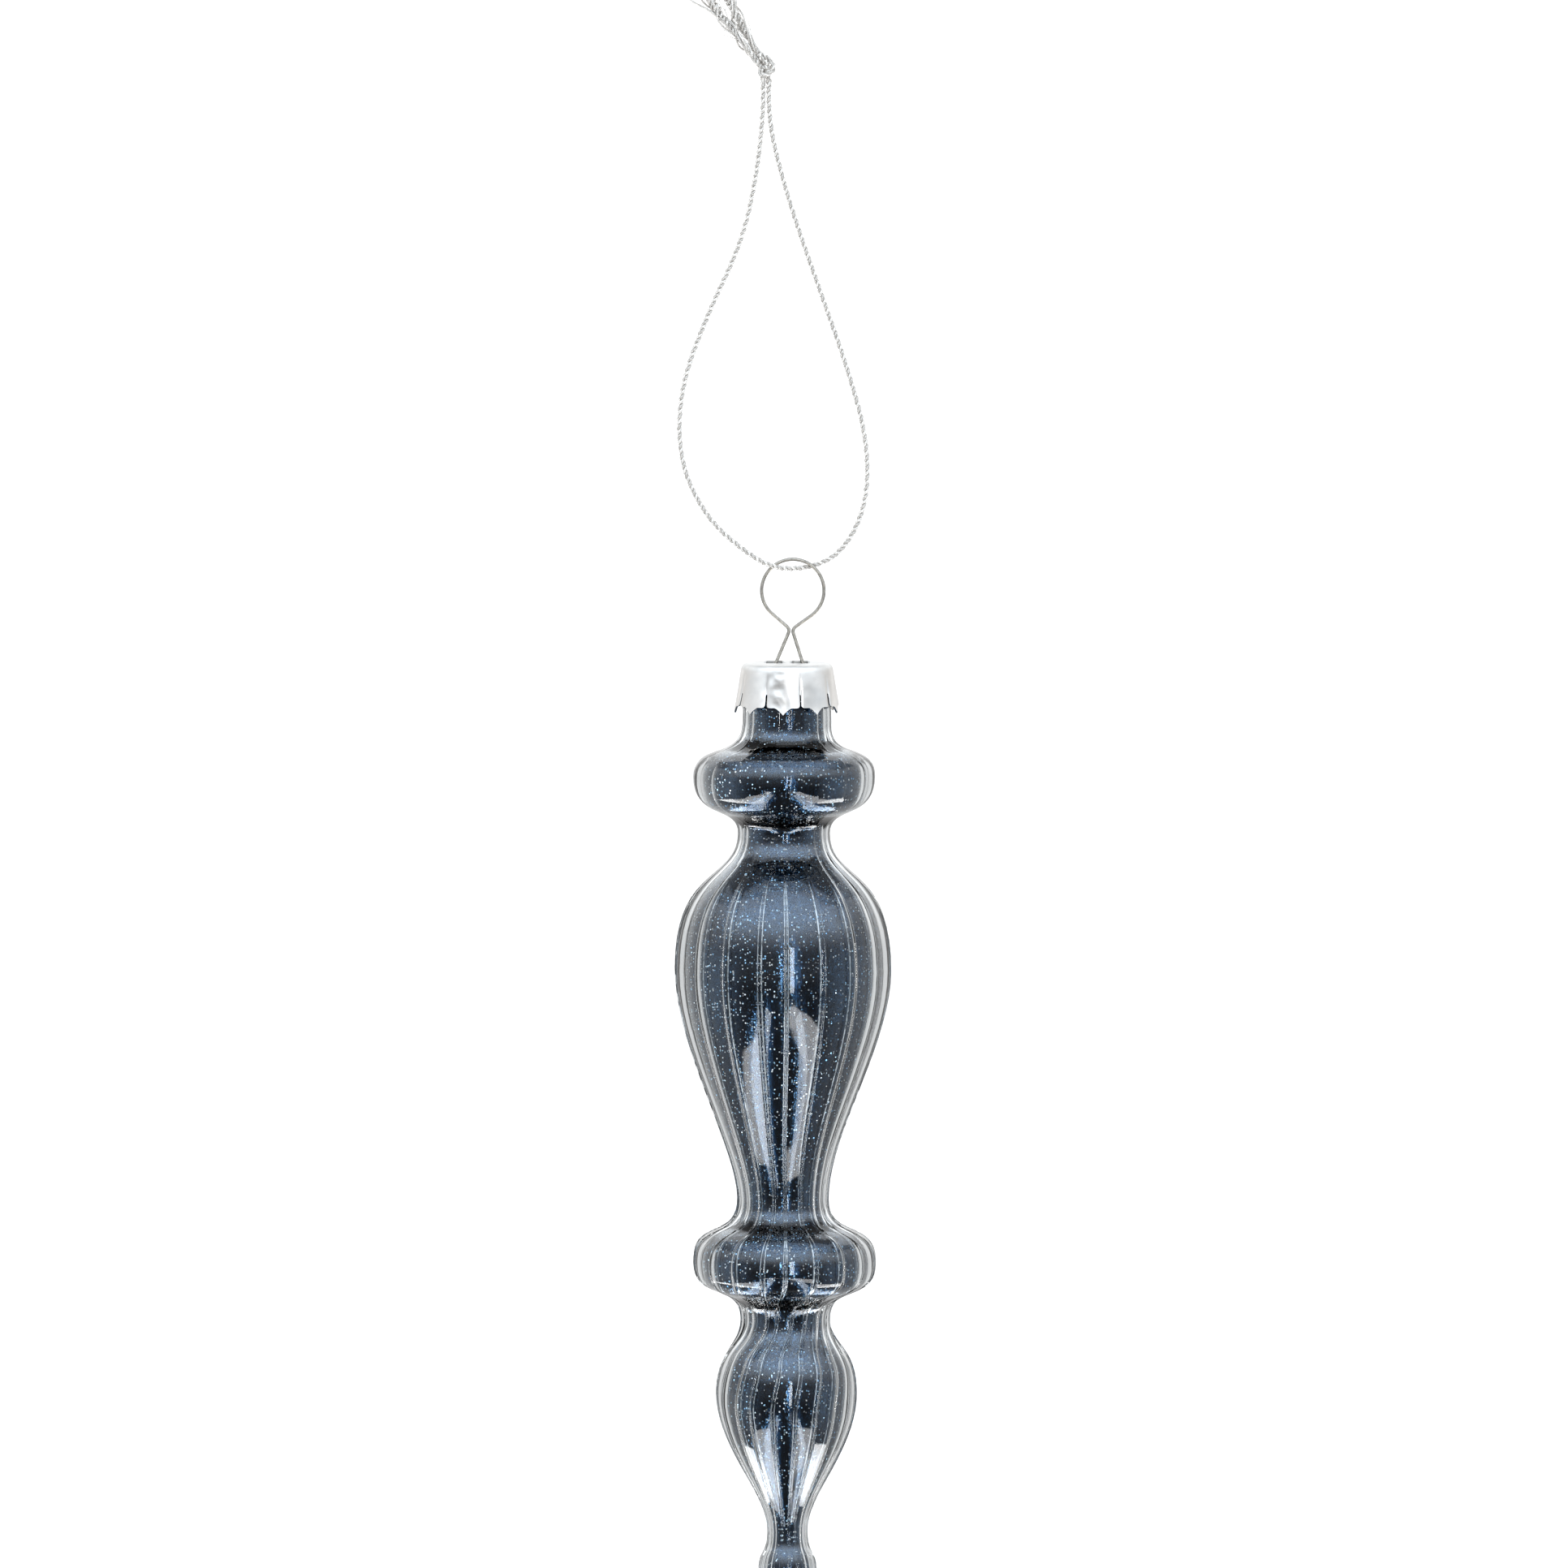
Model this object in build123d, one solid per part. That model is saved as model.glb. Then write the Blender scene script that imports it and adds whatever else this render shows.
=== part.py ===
from build123d import *
import math
import os

# Icicle ornament: a hollow blown-glass drop under a pressed metal cap, on a sprung wire hanger and a cord loop.
# Millimetres, +Z up. The origin is where the cord loop closes under its knot, the point that it hangs from.

# Ornament axis
AXIS_X = 3.3  # the glass hangs this far to the right of the knot
CAP_TOP_Z = -85.9

# Cap: a thin pressed cup whose hem is cut into petals
SHEET = 0.3
CAP_TOP_R = 6.9
CAP_EDGE_R = 0.7
FLARE = 0.18  # the skirt's radius grows by this for each millimetre down
PETALS = 9
FIRST_SLIT_DEG = -24.5  # from the front, positive to the right
SLIT_WIDTH = 0.25
SLIT_DEPTH = 4.4
LOBE_DEPTH = 6.4  # each petal has a rounded lobe beside each slit
LOBE_R = 0.5
LOBE_WIDTH = 1.4
TIP_DEPTH = 7.5  # and a pointed tip between them
SLOT_NEAR = 0.7  # the two wire slots in the top, each side of the axis
SLOT_FAR = 3.2
SLOT_WIDTH = 1.0

# Hanger wire, measured from the centre of its ring
WIRE_R = 0.26
RING_X = 4.1
RING_Z = -74.75
RING_R = 4.78
RING_SPAN_DEG = 142  # the ring's arc, each side of its top
RING_RUN = 3.54  # straight run from the ring to the corner of its waist
LEG_SLOPE = 0.365
KNEE_X = 4.0
LEG_END_Z = -21.6
FOOT_X = 3.3
FOOT_Z = -22.4
LEG_BEND = 0.9
FOOT_BEND = 0.6
LEAN_DEG = 2.6  # the whole wire leans to the right

# Glass: (name, depth below the cap's top, outer radius, handle above, handle below). Each stretch between two
# stations is a Bezier curve that leaves both of them straight down the axis, for the length of their handles.
STATIONS = [
    ("lip", 0.95, 6.35, 0, 2.6),
    ("neck", 9.4, 6.8, 3.0, 5.6),
    ("upper_ring", 17.4, 14.0, 5.2, 6.7),
    ("waist_1", 26.1, 7.1, 4.4, 7.4),
    ("large_drop", 47.1, 16.6, 15.8, 11.5),
    ("waist_2", 82.6, 6.85, 8.9, 6.5),
    ("lower_ring", 92.25, 14.0, 6.3, 6.2),
    ("waist_3", 101.1, 6.7, 5.5, 4.6),
    ("small_drop", 112.6, 10.6, 7.2, 8.6),
    ("waist_4", 134.1, 3.0, 5.9, 4.1),
    ("bead", 141.3, 4.4, 4.7, 3.4),
    ("waist_5", 148.0, 2.4, 3.0, 2.4),
    ("spike", 153.5, 3.0, 2.4, 7.0),
]
LIP_ROUND = 0.35  # the lip's rounded top stands this far above its station
GLASS_END = 178.0
GLASS_END_R = 0.9
GLASS_END_HANDLE = 11.0
WALL_SHARE = 0.08  # the wall is this share of the radius, and this much more
WALL_LEAST = 0.55
CAVITY_END = 168.0

# Glitter lining, just inside the glass
LINING_TOP = 7.6
LINING_GAP = 0.08
LINING_THICK = 0.15

# Cord: a loop through the hanger's ring, a knot, and the two tails that come out of it
CORD_D = 0.8
ARC_SHARE = 0.45  # of the shorter run beside it, which each arc of the cord takes up
KNOT_CENTRE = (0.1, 0, 4.7)
KNOT_HALF_SIZES = (1.55, 1.3, 1.8)
LOOP_ROUTE = [
    (-0.43, 0, 3.6),
    (-0.43, 0, -1.8),
    (-1.4, 0, -11.0),
    (-3.6, 0, -21.3),
    (-9.2, 0, -33.0),
    (-13.2, 0, -44.0),
    (-13.3, 0, -55.0),
    (-9.2, -0.6, -63.5),
    (-3.6, -1.1, -68.5),
    (1.2, -1.25, -71.4),
    (7.0, 1.25, -71.4),
    (11.9, 1.1, -68.8),
    (15.5, 0.6, -61.5),
    (15.5, 0, -51.6),
    (12.5, 0, -40.8),
    (8.3, 0, -29.0),
    (3.9, 0, -16.5),
    (1.2, 0, -6.8),
    (0.43, 0, -1.4),
    (0.43, 0, 3.6),
]
TAIL_LEFT_ROUTE = [
    (-0.9, -0.2, 5.6),
    (-3.7, -0.35, 9.1),
    (-6.4, -0.2, 12.3),
    (-8.2, 0.2, 15.2),
    (-9.9, 0.3, 17.7),
]
TAIL_RIGHT_ROUTE = [
    (-0.3, 0.3, 6.0),
    (-2.6, 0.45, 9.4),
    (-4.2, 0.3, 12.7),
    (-5.9, -0.1, 15.6),
    (-7.0, -0.3, 18.4),
]


def cavity(radius):
    """The radius of the glass's inside where its outside has this one."""
    return radius * (1 - WALL_SHARE) - WALL_LEAST


def lining_outside(radius):
    return cavity(radius) - LINING_GAP


def lining_inside(radius):
    return lining_outside(radius) - LINING_THICK


def outline(size, stations):
    """The profile from station to station, with size(radius) at each."""
    edges = []
    for (_, top, wide, _, below), (_, bottom, narrow, above, _) in zip(stations, stations[1:]):
        r0, r1 = size(wide), size(narrow)
        edges.append(Bezier((r0, 0, -top), (r0, 0, -top - below), (r1, 0, -bottom + above), (r1, 0, -bottom)))
    return edges


def pointed_end(size, depth):
    """The profile from the last station to a point on the axis."""
    _, top, wide, _, below = STATIONS[-1]
    r = size(wide)
    return Bezier((r, 0, -top), (r, 0, -top - below), (r / 2, 0, -depth), (0, 0, -depth))


def rounded_end():
    """The outside of the glass from the last station to its round tip."""
    _, top, r, _, below = STATIONS[-1]
    end = GLASS_END_R - GLASS_END
    taper = Bezier((r, 0, -top), (r, 0, -top - below), (GLASS_END_R, 0, end + GLASS_END_HANDLE), (GLASS_END_R, 0, end))
    middle = GLASS_END_R * math.sqrt(0.5)
    return [taper, ThreePointArc((GLASS_END_R, 0, end), (middle, 0, end - middle), (0, 0, -GLASS_END))]


def turned(edges):
    """The solid that a closed profile makes, turned about the ornament's axis."""
    return Pos(AXIS_X, 0, CAP_TOP_Z) * revolve(make_face(edges), Axis.Z)


def make_glass():
    lip_z = -STATIONS[0][1]
    lip_out = STATIONS[0][2]
    lip_in = cavity(lip_out)
    lip = ThreePointArc((lip_out, 0, lip_z), ((lip_out + lip_in) / 2, 0, lip_z + LIP_ROUND), (lip_in, 0, lip_z))
    core = Line((0, 0, -CAVITY_END), (0, 0, -GLASS_END))
    outside = outline(float, STATIONS) + rounded_end()
    inside = outline(cavity, STATIONS) + [pointed_end(cavity, CAVITY_END)]
    return turned(outside + inside + [lip, core])


def make_lining():
    """A film that follows the inside of the glass, from inside the neck to the end of the cavity."""
    rows = STATIONS[1:]
    neck_z = -rows[0][1]
    out = lining_outside(rows[0][2])
    inn = lining_inside(rows[0][2])
    outer_end = CAVITY_END - LINING_GAP
    inner_end = outer_end - LINING_THICK
    top = Polyline((out, 0, neck_z), (out, 0, -LINING_TOP), (inn, 0, -LINING_TOP), (inn, 0, neck_z))
    core = Line((0, 0, -inner_end), (0, 0, -outer_end))
    outside = outline(lining_outside, rows) + [pointed_end(lining_outside, outer_end)]
    inside = outline(lining_inside, rows) + [pointed_end(lining_inside, inner_end)]
    return turned(outside + inside + [*top.edges(), core])


def petal_gap():
    """What is cut away between two petal tips: a slit that opens over two round lobes and two hollow flanks."""
    half = SLIT_WIDTH / 2
    tip = (CAP_TOP_R + FLARE * TIP_DEPTH) * math.sin(math.radians(180 / PETALS))
    below = -TIP_DEPTH - 2
    lobe_z = -LOBE_DEPTH
    corner = LOBE_R * (1 - math.sqrt(0.5))
    side = [
        Line((0, -SLIT_DEPTH), (half, -SLIT_DEPTH)),
        Line((half, -SLIT_DEPTH), (half, lobe_z + LOBE_R)),
        ThreePointArc((half, lobe_z + LOBE_R), (half + corner, lobe_z + corner), (half + LOBE_R, lobe_z)),
        Line((half + LOBE_R, lobe_z), (LOBE_WIDTH, lobe_z)),
        Bezier((LOBE_WIDTH, lobe_z), (tip - 0.6, lobe_z), (tip - 0.3, lobe_z - 0.4), (tip, -TIP_DEPTH)),
        Polyline((tip, -TIP_DEPTH), (tip + LOBE_R, -TIP_DEPTH), (tip + LOBE_R, below), (0, below)),
        Line((0, below), (0, -SLIT_DEPTH)),
    ]
    right = make_face([edge for line in side for edge in line.edges()])
    return extrude(Plane.XZ * (right + mirror(right, Plane.YZ)), 2 * CAP_TOP_R)


def make_cap():
    hem_z = -TIP_DEPTH
    hem_r = CAP_TOP_R - FLARE * hem_z
    outside = FilletPolyline((0, 0, 0), (CAP_TOP_R, 0, 0), (hem_r, 0, hem_z), radius=CAP_EDGE_R)
    inside = FilletPolyline(
        (hem_r - SHEET, 0, hem_z), (CAP_TOP_R - SHEET, 0, -SHEET), (0, 0, -SHEET), radius=CAP_EDGE_R - SHEET
    )
    hem = Line((hem_r, 0, hem_z), (hem_r - SHEET, 0, hem_z))
    core = Line((0, 0, -SHEET), (0, 0, 0))
    cap = revolve(make_face(outside.edges() + inside.edges() + [hem, core]), Axis.Z)
    gap = petal_gap()
    for i in range(PETALS):
        cap -= Rot(0, 0, FIRST_SLIT_DEG + i * 360 / PETALS) * gap
    slot = extrude(SlotOverall(SLOT_FAR - SLOT_NEAR, SLOT_WIDTH), 4 * SHEET)
    for side in (-1, 1):
        cap -= Pos(side * (SLOT_NEAR + SLOT_FAR) / 2, 0, -2 * SHEET) * slot
    return Pos(AXIS_X, 0, CAP_TOP_Z) * cap


def tube(name, path, radius):
    """A round section swept along a path."""
    start = Plane(origin=path @ 0, z_dir=path % 0)
    solid = sweep(start * Circle(radius), path=path)
    ideal = math.pi * radius**2 * path.length
    print(f"{name}: length {path.length:.2f}, volume {solid.volume:.3f}, section x length {ideal:.3f}")
    return solid


def make_hanger():
    """One wire: a foot and a leg in the neck, a waist, the ring, and the same again down the other side."""
    turn = math.radians(RING_SPAN_DEG)
    end = (RING_R * math.sin(turn), RING_R * math.cos(turn))
    waist = (end[0] + RING_RUN * math.cos(turn), end[1] - RING_RUN * math.sin(turn))
    knee_z = waist[1] - (KNEE_X - waist[0]) / LEG_SLOPE
    half = [end, waist, (KNEE_X, knee_z), (KNEE_X, LEG_END_Z), (FOOT_X, FOOT_Z)]
    bends = [LEG_BEND, LEG_BEND, FOOT_BEND]
    right = FilletPolyline(*[(x, 0, z) for x, z in half], radius=bends)
    left = FilletPolyline(*[(-x, 0, z) for x, z in half[::-1]], radius=bends[::-1])
    ring = ThreePointArc((-end[0], 0, end[1]), (0, 0, RING_R), (end[0], 0, end[1]))
    wire = tube("hanger_wire", Wire(left.edges() + [ring.edge()] + right.edges()), WIRE_R)
    return Pos(RING_X, 0, RING_Z) * Rot(0, LEAN_DEG, 0) * wire


def make_cord(name, route):
    """A cord's tube: straight runs joined by tangent arcs, each as large as its two runs allow."""
    points = [Vector(*point) for point in route]
    radii = []
    for before, here, after in zip(points, points[1:], points[2:]):
        half_turn = math.radians((here - before).get_angle(after - here) / 2)
        shorter = min((here - before).length, (after - here).length)
        radii.append(ARC_SHARE * shorter / math.tan(half_turn))
    print(name, "bend radii", [round(r, 1) for r in radii])
    return tube(name, FilletPolyline(*points, radius=radii), CORD_D / 2)


def make_knot():
    """The outer shape of the knot: both strands of the loop go into it and both tails come out of it."""
    return Pos(*KNOT_CENTRE) * scale(Sphere(1), by=KNOT_HALF_SIZES)


parts = {
    "glass_body": make_glass(),
    "glitter_lining": make_lining(),
    "crimp_cap": make_cap(),
    "hanger_wire": make_hanger(),
    "cord_loop": make_cord("cord_loop", LOOP_ROUTE),
    "cord_knot": make_knot(),
    "cord_tail_left": make_cord("cord_tail_left", TAIL_LEFT_ROUTE),
    "cord_tail_right": make_cord("cord_tail_right", TAIL_RIGHT_ROUTE),
}

os.makedirs("parts", exist_ok=True)
for node, shape in parts.items():
    export_step(shape, f"parts/{node}.step")
    print(node, "volume", round(shape.volume, 2))
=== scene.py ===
import math
import random

import bpy
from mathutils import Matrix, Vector, noise
from mathutils.geometry import tessellate_polygon


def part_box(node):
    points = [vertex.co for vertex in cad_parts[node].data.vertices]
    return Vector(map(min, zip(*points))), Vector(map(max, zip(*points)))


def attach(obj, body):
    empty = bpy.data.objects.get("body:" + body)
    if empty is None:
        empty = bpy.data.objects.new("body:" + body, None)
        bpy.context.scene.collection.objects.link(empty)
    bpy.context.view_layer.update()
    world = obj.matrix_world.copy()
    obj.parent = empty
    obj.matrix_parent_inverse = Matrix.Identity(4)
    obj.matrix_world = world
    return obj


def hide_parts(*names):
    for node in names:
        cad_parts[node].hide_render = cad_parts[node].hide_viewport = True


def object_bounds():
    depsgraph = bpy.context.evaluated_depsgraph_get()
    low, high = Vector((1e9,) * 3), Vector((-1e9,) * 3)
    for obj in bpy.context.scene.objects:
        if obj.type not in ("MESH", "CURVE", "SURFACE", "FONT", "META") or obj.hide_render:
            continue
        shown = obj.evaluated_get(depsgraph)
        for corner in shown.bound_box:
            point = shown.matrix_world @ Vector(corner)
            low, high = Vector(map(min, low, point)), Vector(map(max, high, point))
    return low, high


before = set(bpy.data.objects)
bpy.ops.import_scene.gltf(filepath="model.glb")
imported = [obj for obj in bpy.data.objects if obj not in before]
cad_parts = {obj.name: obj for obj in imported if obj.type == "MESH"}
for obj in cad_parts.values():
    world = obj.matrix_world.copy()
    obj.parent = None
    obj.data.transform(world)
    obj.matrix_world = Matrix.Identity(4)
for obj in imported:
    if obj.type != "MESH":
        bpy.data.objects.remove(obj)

MM = 0.001
cad_low, cad_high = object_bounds()  # the CAD model's box

scene = bpy.context.scene
scene.view_settings.view_transform = "Standard"

cap_low, cap_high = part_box("crimp_cap")
AXIS_X = (cap_low[0] + cap_high[0]) / 2  # the cap's and the glass's shared upright axis
CAP_TOP = cap_high[2]


def add_object(name, data, body):
    """A new object in the scene, riding on the named body if there is one."""
    obj = bpy.data.objects.new(name, data)
    scene.collection.objects.link(obj)
    if body:
        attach(obj, body)
    return obj


def mesh_object(name, points, faces, body):
    mesh = bpy.data.meshes.new(name)
    mesh.from_pydata([tuple(p) for p in points], [], faces)
    mesh.validate()
    for polygon in mesh.polygons:
        polygon.use_smooth = True
    return add_object(name, mesh, body)


# ---------------------------------------------------------------- camera

VIEW_DISTANCE = 1.5
VIEW_ELEVATION = math.radians(4.5)
VIEW_WIDTH = 240.6 * MM
VIEW_CENTRE = Vector((2.75 * MM, 0, -104.5 * MM))


def make_camera():
    data = bpy.data.cameras.new("camera")
    data.sensor_width = 36
    data.lens = data.sensor_width * VIEW_DISTANCE / VIEW_WIDTH
    data.clip_start = 0.01
    data.clip_end = 200
    camera = bpy.data.objects.new("camera", data)
    scene.collection.objects.link(camera)
    back = Vector((0, -math.cos(VIEW_ELEVATION), math.sin(VIEW_ELEVATION)))
    camera.location = VIEW_CENTRE + back * VIEW_DISTANCE
    camera.rotation_euler = (math.pi / 2 - VIEW_ELEVATION, 0, 0)
    scene.camera = camera


make_camera()

# ---------------------------------------------------------------- cord

STRAND_R = 0.2 * MM
TWIST_PITCH = 1.5 * MM
LOOP_ROUTE = [
    (-0.43, 0, 3.6),
    (-0.43, 0, -1.8),
    (-1.4, 0, -11.0),
    (-3.6, 0, -21.3),
    (-9.2, 0, -33.0),
    (-13.2, 0, -44.0),
    (-13.3, 0, -55.0),
    (-9.2, -0.6, -63.5),
    (-3.6, -1.1, -68.5),
    (1.2, -1.25, -71.4),
    (7.0, 1.25, -71.4),
    (11.9, 1.1, -68.8),
    (15.5, 0.6, -61.5),
    (15.5, 0, -51.6),
    (12.5, 0, -40.8),
    (8.3, 0, -29.0),
    (3.9, 0, -16.5),
    (1.2, 0, -6.8),
    (0.43, 0, -1.4),
    (0.43, 0, 3.6),
]
TAIL_LEFT_ROUTE = [
    (-0.9, -0.2, 5.6),
    (-3.7, -0.35, 9.1),
    (-6.4, -0.2, 12.3),
    (-8.2, 0.2, 15.2),
    (-9.9, 0.3, 17.7),
]
TAIL_RIGHT_ROUTE = [
    (-0.3, 0.3, 6.0),
    (-2.6, 0.45, 9.4),
    (-4.2, 0.3, 12.7),
    (-5.9, -0.1, 15.6),
    (-7.0, -0.3, 18.4),
]
CORD_ROUTE = TAIL_LEFT_ROUTE[::-1] + LOOP_ROUTE + TAIL_RIGHT_ROUTE


def spline_points(route, spacing):
    """Evenly spaced points on the smooth line that the route's points control."""
    curve = bpy.data.curves.new("route", "CURVE")
    curve.dimensions = "3D"
    curve.resolution_u = 24
    spline = curve.splines.new("NURBS")
    spline.points.add(len(route) - 1)
    for point, place in zip(spline.points, route):
        point.co = (*[v * MM for v in place], 1)
    spline.order_u = 3
    spline.use_endpoint_u = True
    holder = bpy.data.objects.new("route", curve)
    scene.collection.objects.link(holder)
    bpy.context.view_layer.update()
    settled = holder.evaluated_get(bpy.context.evaluated_depsgraph_get())
    line = bpy.data.meshes.new_from_object(settled)
    raw = [v.co.copy() for v in line.vertices]
    bpy.data.objects.remove(holder)
    bpy.data.meshes.remove(line)
    bpy.data.curves.remove(curve)
    return respaced(raw, spacing)


def respaced(raw, spacing):
    """The same line with its points an even distance apart."""
    total = sum((b - a).length for a, b in zip(raw, raw[1:]))
    count = max(2, round(total / spacing))
    step = total / count
    out = [raw[0].copy()]
    left = step
    for a, b in zip(raw, raw[1:]):
        length = (b - a).length
        at = 0.0
        while length - at > left - 1e-12 and len(out) < count:
            at += left
            out.append(a.lerp(b, at / length))
            left = step
        left -= length - at
    out.append(raw[-1].copy())
    return out


def frames_along(line):
    """A point, side and up vector at each point of a line, turning as little as possible."""
    tangents = [
        (line[min(i + 1, len(line) - 1)] - line[max(i - 1, 0)]).normalized() for i in range(len(line))
    ]
    side = tangents[0].cross(Vector((0, 1, 0))).normalized()
    out = []
    for point, tangent in zip(line, tangents):
        side = (side - tangent * side.dot(tangent)).normalized()
        out.append((point, side, tangent.cross(side)))
    return out


def tag(obj, name, values):
    """Gives each point of an object's mesh a value that its material can read."""
    attribute = obj.data.attributes.new(name, "FLOAT", "POINT")
    attribute.data.foreach_set("value", values)


def add_tube(line, radius_at, sides, points, faces):
    """Adds a closed tube round a line; radius_at takes the share of the line that is behind."""
    first = len(points)
    frames = frames_along(line)
    for i, (centre, side, up) in enumerate(frames):
        r = radius_at(i / (len(frames) - 1))
        for k in range(sides):
            a = 2 * math.pi * k / sides
            points.append(centre + side * (r * math.cos(a)) + up * (r * math.sin(a)))
    for i in range(len(frames) - 1):
        for k in range(sides):
            a = first + i * sides + k
            b = first + i * sides + (k + 1) % sides
            faces.append((a, b, b + sides, a + sides))
    faces.append(tuple(first + k for k in range(sides))[::-1])
    faces.append(tuple(first + (len(frames) - 1) * sides + k for k in range(sides)))


def strand_lines(line, pitch, offset_at):
    """The lines of two strands twisted round a line, as far off it as offset_at(distance along) says."""
    frames = frames_along(line)
    step = (line[-1] - line[-2]).length
    lines = []
    for strand in range(2):
        places = []
        for i, (centre, side, up) in enumerate(frames):
            a = 2 * math.pi * i * step / pitch + strand * math.pi
            places.append(centre + (side * math.cos(a) + up * math.sin(a)) * offset_at(i * step))
        lines.append(places)
    return lines


LOOSE_LENGTH = 11.0 * MM  # the tails' strands part over this length
LOOSE_OFFSET = 0.5 * MM
STRAND_SWELL = 1.04  # the strands press into each other by this much


def make_cord():
    """The whole cord, from one tail's end to the other's, as two strands twisted together."""
    line = spline_points(CORD_ROUTE, 0.12 * MM)
    total = sum((b - a).length for a, b in zip(line, line[1:]))

    def offset_at(distance):
        loose = max(0.0, 1 - min(distance, total - distance) / LOOSE_LENGTH)
        return STRAND_R + LOOSE_OFFSET * loose * loose

    points, faces, foil = [], [], []
    for i, strand in enumerate(strand_lines(line, TWIST_PITCH, offset_at)):
        add_tube(strand, lambda share: STRAND_R * STRAND_SWELL, 8, points, faces)
        foil += [float(i)] * (len(points) - len(foil))
    cord = mesh_object("hang_cord", points, faces, "cord")
    tag(cord, "foil", foil)
    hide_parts("cord_loop", "cord_tail_left", "cord_tail_right")
    return cord, line, total


KNOT_ROUTE = [
    (0.1, 0.0, 2.4),
    (0.1, 0.1, 3.3),
    (-0.2, 0.5, 4.1),
    (-0.65, 0.45, 5.0),
    (-0.1, 0.1, 5.7),
    (0.85, -0.35, 5.45),
    (0.75, -0.65, 4.5),
    (-0.25, -0.7, 3.95),
    (-0.75, -0.15, 4.35),
    (-0.2, 0.5, 4.9),
    (0.6, 0.5, 5.3),
    (0.45, 0.0, 6.0),
    (-0.4, -0.2, 6.6),
    (-1.0, -0.2, 7.3),
]
KNOT_APART = 0.5 * MM  # from the knot's line to each of its two cords
KNOT_TURN = 14 * MM
KNOT_STRAND_R = 0.95 * STRAND_R  # pulled tight
KNOT_STRAND_OFFSET = 0.9 * STRAND_R


def make_knot():
    """The overhand knot, tied with the doubled cord."""
    line = spline_points(KNOT_ROUTE, 0.1 * MM)
    points, faces, foil = [], [], []
    for side in strand_lines(line, KNOT_TURN, lambda distance: KNOT_APART):
        for i, strand in enumerate(strand_lines(side, TWIST_PITCH, lambda distance: KNOT_STRAND_OFFSET)):
            add_tube(strand, lambda share: KNOT_STRAND_R, 8, points, faces)
            foil += [float(i)] * (len(points) - len(foil))
    knot = mesh_object("knot_wraps", points, faces, "cord")
    tag(knot, "foil", foil)
    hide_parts("cord_knot")
    return knot


FIBRES = 44  # filaments on each tail
FIBRE_R = 0.07 * MM
FIBRE_STEPS = 10
FIBRE_SIDES = 6
PLIES = 5  # loose plies round each tail
PLY_R = 0.15 * MM
PLY_OFFSET = 1.05 * MM
PLY_PITCH = 8.5 * MM
PLY_WAVE = 0.5 * MM
PLY_WAVE_SEED = 21  # without a seed, noise_vector starts from the clock
PLY_STEP = 0.2 * MM
STRAY_ROUTE = [
    (-5.4, -0.2, 11.0),
    (-7.4, -0.4, 12.9),
    (-9.2, -0.3, 14.2),
    (-11.2, 0.0, 15.1),
    (-12.6, 0.2, 16.3),
]


def make_fibres():
    """What leaves the two frayed tails: fine filaments, loose plies round each, and one stray ply."""
    rng = random.Random(21)
    noise.seed_set(PLY_WAVE_SEED)
    points, faces = [], []
    for route in (TAIL_LEFT_ROUTE, TAIL_RIGHT_ROUTE):
        tail = spline_points(route, 0.25 * MM)
        for _ in range(FIBRES):
            start = rng.randrange(int(0.2 * len(tail)), int(0.95 * len(tail)))
            tangent = (tail[start + 1] - tail[start]).normalized()
            spread = Vector([rng.uniform(-1, 1) for _ in range(3)])
            bend = Vector([rng.uniform(-1, 1) for _ in range(3)])
            reach = rng.uniform(2.2, 5.2) * MM
            line = []
            for i in range(FIBRE_STEPS + 1):
                t = i / FIBRE_STEPS
                away = spread * (0.15 * MM + 0.32 * reach * t) + bend * (0.3 * reach * t * t)
                line.append(tail[start] + tangent * (reach * t) + away)
            add_tube(line, lambda share: FIBRE_R * (1 - 0.5 * share), FIBRE_SIDES, points, faces)
    fibre_points = FIBRE_SIDES * (FIBRE_STEPS + 1)
    foil = [float(i // fibre_points % 3 > 0) for i in range(len(points))]
    for route in (TAIL_LEFT_ROUTE, TAIL_RIGHT_ROUTE):
        frames = frames_along(spline_points(route, PLY_STEP))
        for ply in range(PLIES):
            phase = 2 * math.pi * ply / PLIES + rng.uniform(-0.5, 0.5)
            pitch = PLY_PITCH * rng.uniform(0.7, 1.4)
            wide = PLY_OFFSET * rng.uniform(0.7, 1.3)
            line = []
            for i, (centre, side, up) in enumerate(frames):
                share = i / (len(frames) - 1)
                a = phase + 2 * math.pi * i * PLY_STEP / pitch
                wave = noise.noise_vector(centre * 420 + Vector((ply, 0, 3))) * PLY_WAVE
                off = wide * (0.2 + 0.8 * share)
                line.append(centre + side * (off * math.cos(a)) + up * (off * math.sin(a)) + wave)
            add_tube(line, lambda share: PLY_R, 8, points, faces)
            foil += [float(ply % 2)] * (len(points) - len(foil))
    stray = spline_points(STRAY_ROUTE, PLY_STEP)
    add_tube(stray, lambda share: 1.4 * PLY_R * (1 - 0.4 * share), 8, points, faces)
    foil += [0.0] * (len(points) - len(foil))
    fibres = mesh_object("tail_fibres", points, faces, "cord")
    tag(fibres, "foil", foil)
    return fibres


cord, cord_line, cord_length = make_cord()
knot = make_knot()
fibres = make_fibres()

# ---------------------------------------------------------------- glass outline

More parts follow.
